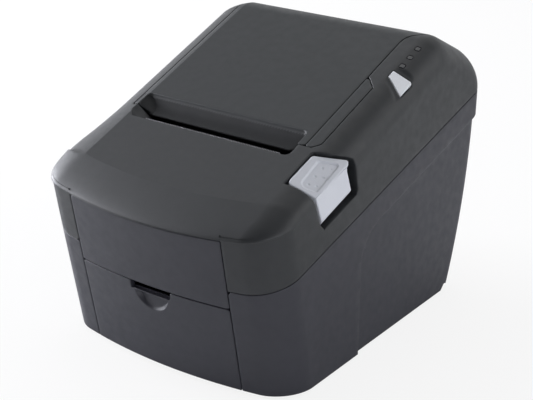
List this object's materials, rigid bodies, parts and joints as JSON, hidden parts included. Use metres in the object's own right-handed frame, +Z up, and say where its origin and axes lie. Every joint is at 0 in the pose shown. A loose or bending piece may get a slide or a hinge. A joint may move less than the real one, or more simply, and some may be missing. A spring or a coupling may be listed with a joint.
{
  "type": "receipt printer",
  "caption": "Clamshell printer for paper rolls: sloping hood, hinged paper cover with platen, slot with tear edge, side lever, feed button, lamps and a drop-down front door",
  "frame": {"origin": "on the table, under the middle of the bounding box", "axes": "+X to the right seen from the front, front looks along -Y, +Z up"},
  "size_m": [0.145, 0.2009, 0.1482],
  "materials": {
    "lower_case": "fine spark-eroded texture, dark grey",
    "base_plate": "black powder coat",
    "feet": "soft black rubber",
    "base_screws": "zinc plated",
    "upper_cover": "fine texture, dark charcoal",
    "front_panel": "fine texture, dark grey",
    "front_door": "fine texture, dark grey",
    "door_pins": "ground",
    "paper_cover": "fine texture, dark charcoal",
    "platen_carrier": "smooth black",
    "hinge_rod": "ground",
    "fixed_blade": "hardened, ground edge",
    "platen_shaft": "ground",
    "platen_rubber": "ground rubber",
    "platen_bushes": "natural acetal",
    "platen_gear": "white acetal",
    "idler_gear": "white acetal",
    "idler_pin": "ground",
    "feed_motor": "rolled steel can",
    "motor_gear": "cut brass",
    "frame": "zinc plated sheet",
    "frame_screws": "zinc plated",
    "print_head": "glazed ceramic",
    "heat_sink": "extruded, bare",
    "head_spring": "spring steel",
    "head_rod": "ground",
    "cutter_table": "zinc plated sheet",
    "cutter_blade": "hardened, ground edge",
    "cutter_pinion": "cut brass",
    "cutter_motor": "rolled steel can",
    "tear_bar": "stamped teeth",
    "roll_bin": "smooth black",
    "lever": "light grey, satin",
    "lever_pin": "ground",
    "feed_key": "pale grey, satin",
    "control_board": "green solder mask",
    "lamp_power": "clear light pipe",
    "lamp_error": "clear light pipe",
    "lamp_paper": "clear light pipe",
    "key_switch": "black",
    "main_board": "green solder mask",
    "main_chip": "moulded package",
    "capacitors": "sleeved can",
    "rear_plate": "zinc plated sheet",
    "power_inlet": "black",
    "drawer_socket": "black",
    "serial_socket": "nickel plated shell",
    "usb_socket": "nickel plated shell",
    "rocker_frame": "black",
    "power_rocker": "black"
  },
  "bodies": {
    "case": {"lower_case": "lower_case", "base_plate": "base_plate", "feet": "feet", "base_screws": "base_screws", "upper_cover": "upper_cover", "front_panel": "front_panel", "door_pins": "door_pins", "hinge_rod": "hinge_rod", "idler_pin": "idler_pin", "feed_motor": "feed_motor", "frame": "frame", "frame_screws": "frame_screws", "print_head": "print_head", "heat_sink": "heat_sink", "head_spring": "head_spring", "head_rod": "head_rod", "cutter_table": "cutter_table", "cutter_motor": "cutter_motor", "tear_bar": "tear_bar", "roll_bin": "roll_bin", "lever_pin": "lever_pin", "control_board": "control_board", "lamp_power": "lamp_power", "lamp_error": "lamp_error", "lamp_paper": "lamp_paper", "key_switch": "key_switch", "main_board": "main_board", "main_chip": "main_chip", "capacitors": "capacitors", "rear_plate": "rear_plate", "power_inlet": "power_inlet", "drawer_socket": "drawer_socket", "serial_socket": "serial_socket", "usb_socket": "usb_socket", "rocker_frame": "rocker_frame"},
    "paper_cover": {"paper_cover": "paper_cover", "platen_carrier": "platen_carrier", "fixed_blade": "fixed_blade", "platen_bushes": "platen_bushes"},
    "platen": {"platen_shaft": "platen_shaft", "platen_rubber": "platen_rubber", "platen_gear": "platen_gear"},
    "idler": {"idler_gear": "idler_gear"},
    "motor_gear": {"motor_gear": "motor_gear"},
    "front_door": {"front_door": "front_door"},
    "lever": {"lever": "lever"},
    "feed_key": {"feed_key": "feed_key"},
    "cutter_blade": {"cutter_blade": "cutter_blade"},
    "cutter_pinion": {"cutter_pinion": "cutter_pinion"},
    "power_rocker": {"power_rocker": "power_rocker"}
  },
  "joints": [
    {"name": "paper_cover_hinge", "type": "hinge", "parent": "case", "child": "paper_cover", "pos_m": [0, 0.0943, 0.113], "axis": [-1, 0, 0], "range_deg": [0, 70]},
    {"name": "platen_spin", "type": "hinge", "parent": "paper_cover", "child": "platen", "pos_m": [0, -0.027, 0.092], "axis": [1, 0, 0], "continuous": true},
    {"name": "idler_spin", "type": "hinge", "parent": "case", "child": "idler", "pos_m": [0.053, -0.02255, 0.07348], "axis": [1, 0, 0], "continuous": true},
    {"name": "motor_spin", "type": "hinge", "parent": "case", "child": "motor_gear", "pos_m": [0.053, -0.02847, 0.05722], "axis": [1, 0, 0], "continuous": true},
    {"name": "front_door_hinge", "type": "hinge", "parent": "case", "child": "front_door", "pos_m": [0, -0.07924, 0.013], "axis": [1, 0, 0], "range_deg": [0, 75]},
    {"name": "lever_pivot", "type": "hinge", "parent": "case", "child": "lever", "pos_m": [0.0635, -0.022, 0.111], "axis": [1, 0, 0], "range_deg": [0, 4], "stiffness_Nm_per_rad": 0.5, "springref_deg": -2.86},
    {"name": "feed_key_press", "type": "slide", "parent": "case", "child": "feed_key", "axis": [-0.5931, 0.2806, -0.7546], "range_m": [0, 0.0008], "stiffness_N_per_m": 800, "springref_m": -0.0005},
    {"name": "cutter_slide", "type": "slide", "parent": "case", "child": "cutter_blade", "axis": [0, 1, 0], "range_m": [0, 0.006]},
    {"name": "cutter_pinion_turn", "type": "hinge", "parent": "case", "child": "cutter_pinion", "pos_m": [-0.0403, -0.056, 0.102], "axis": [0, 0, 1], "range_deg": [0, 90]},
    {"name": "power_rocker_tilt", "type": "hinge", "parent": "case", "child": "power_rocker", "pos_m": [0.022, -0.067, 0.03], "axis": [1, 0, 0], "range_deg": [0, 14]}
  ],
  "couplings": [
    {"joint": "idler_spin", "follows": "platen_spin", "ratio": -0.58333},
    {"joint": "motor_spin", "follows": "platen_spin", "ratio": 1.4},
    {"joint": "cutter_pinion_turn", "follows": "cutter_slide", "rad_per_m": 250}
  ]
}
